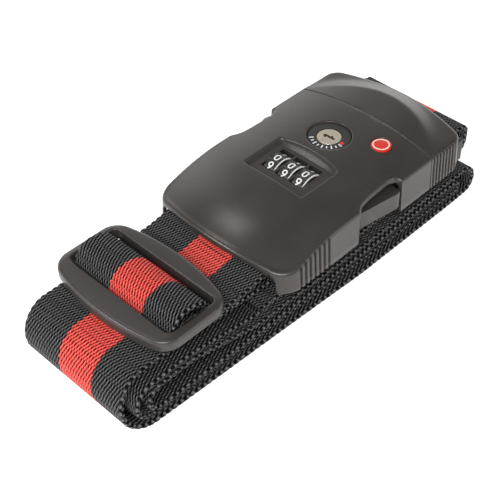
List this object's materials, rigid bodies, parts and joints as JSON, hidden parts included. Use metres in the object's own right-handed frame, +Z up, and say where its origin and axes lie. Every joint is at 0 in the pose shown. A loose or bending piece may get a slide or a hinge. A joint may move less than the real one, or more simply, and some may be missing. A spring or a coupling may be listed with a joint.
{
  "type": "luggage strap",
  "caption": "Coiled luggage strap of striped webbing with a side-release combination and key lock buckle and a sliding three-bar adjuster.",
  "frame": {"origin": "middle of the closed buckle in plan, on the flat underside of the coiled webbing that the strap rests on", "axes": "+X along the webbing towards the insert half of the buckle, +Y towards the left latch button, +Z up out of the buckle's crowned face"},
  "size_m": [0.1853, 0.0694, 0.0336],
  "materials": {
    "cover_plastic": "satin charcoal grey moulded plastic",
    "inner_plastic": "satin charcoal moulded plastic",
    "webbing": "coarse woven polyester, black with a red centre stripe",
    "thread": "black bonded thread",
    "steel": "plated steel",
    "screw_steel": "black zinc",
    "dial_plastic": "satin dark grey with white numerals",
    "zinc": "cast zinc",
    "brass_plug": "pale polished brass",
    "badge": "gloss red"
  },
  "bodies": {
    "female_half": {"female_top_cover": "cover_plastic", "female_bottom_cover": "inner_plastic", "female_screws": "screw_steel", "female_webbing_bar": "steel", "dial_shaft": "steel", "detent_leaf_spring": "steel", "lock_spring": "steel", "reset_spring": "steel", "cylinder_housing": "inner_plastic", "cover_badge": "badge", "coiled_webbing": "webbing", "sewn_end_stitching": "thread"},
    "dial_1": {"dial_wheel_1": "dial_plastic", "dial_cam_1": "zinc"},
    "dial_2": {"dial_wheel_2": "dial_plastic", "dial_cam_2": "zinc"},
    "dial_3": {"dial_wheel_3": "dial_plastic", "dial_cam_3": "zinc"},
    "key_cylinder": {"key_plug": "brass_plug", "key_cam": "zinc"},
    "lock_slide": {"lock_plate": "zinc"},
    "reset": {"reset_button": "inner_plastic"},
    "insert_half": {"male_top_cover": "cover_plastic", "male_bottom_cover": "inner_plastic", "male_frame": "inner_plastic", "male_webbing_bar": "steel", "male_screws": "screw_steel", "male_end_webbing": "webbing", "insert_loop_stitching": "thread"},
    "latch_left": {"latch_arm_left": "cover_plastic"},
    "latch_right": {"latch_arm_right": "cover_plastic"},
    "adjuster": {"adjuster_frame": "cover_plastic", "adjuster_webbing": "webbing", "adjuster_sewn_loop": "webbing"}
  },
  "joints": [
    {"name": "dial_1_spin", "type": "hinge", "parent": "female_half", "child": "dial_1", "pos_m": [-0.01115, 0.007, 0.026], "axis": [0, 1, 0], "continuous": true},
    {"name": "dial_2_spin", "type": "hinge", "parent": "female_half", "child": "dial_2", "pos_m": [-0.01115, 0, 0.026], "axis": [0, 1, 0], "continuous": true},
    {"name": "dial_3_spin", "type": "hinge", "parent": "female_half", "child": "dial_3", "pos_m": [-0.01115, -0.007, 0.026], "axis": [0, 1, 0], "continuous": true},
    {"name": "key_turn", "type": "hinge", "parent": "female_half", "child": "key_cylinder", "pos_m": [0.0116, 0.0016, 0.026], "axis": [0, 0, 1], "range_deg": [0, 90]},
    {"name": "lock_plate_slide", "type": "slide", "parent": "female_half", "child": "lock_slide", "axis": [1, 0, 0], "range_m": [0, 0.00353], "deforming": ["lock_spring"]},
    {"name": "reset_push", "type": "slide", "parent": "female_half", "child": "reset", "axis": [0, 0, 1], "range_m": [0, 0.0015], "deforming": ["reset_spring"]},
    {"name": "insert_slide", "type": "slide", "parent": "female_half", "child": "insert_half", "axis": [1, 0, 0], "range_m": [0, 0.06], "deforming": ["latch_arm_left", "latch_arm_right"]},
    {"name": "latch_left_press", "type": "hinge", "parent": "insert_half", "child": "latch_left", "pos_m": [0.0365, 0.027, 0.022], "axis": [0, 0, 1], "range_deg": [0, 7]},
    {"name": "latch_right_press", "type": "hinge", "parent": "insert_half", "child": "latch_right", "pos_m": [0.0365, -0.027, 0.022], "axis": [0, 0, -1], "range_deg": [0, 7]},
    {"name": "adjuster_slide", "type": "slide", "parent": "female_half", "child": "adjuster", "axis": [1, 0, 0], "range_m": [-0.005, 0.009]}
  ],
  "couplings": [
    {"joint": "key_turn", "follows": "lock_plate_slide", "rad_per_m": 444.29}
  ]
}
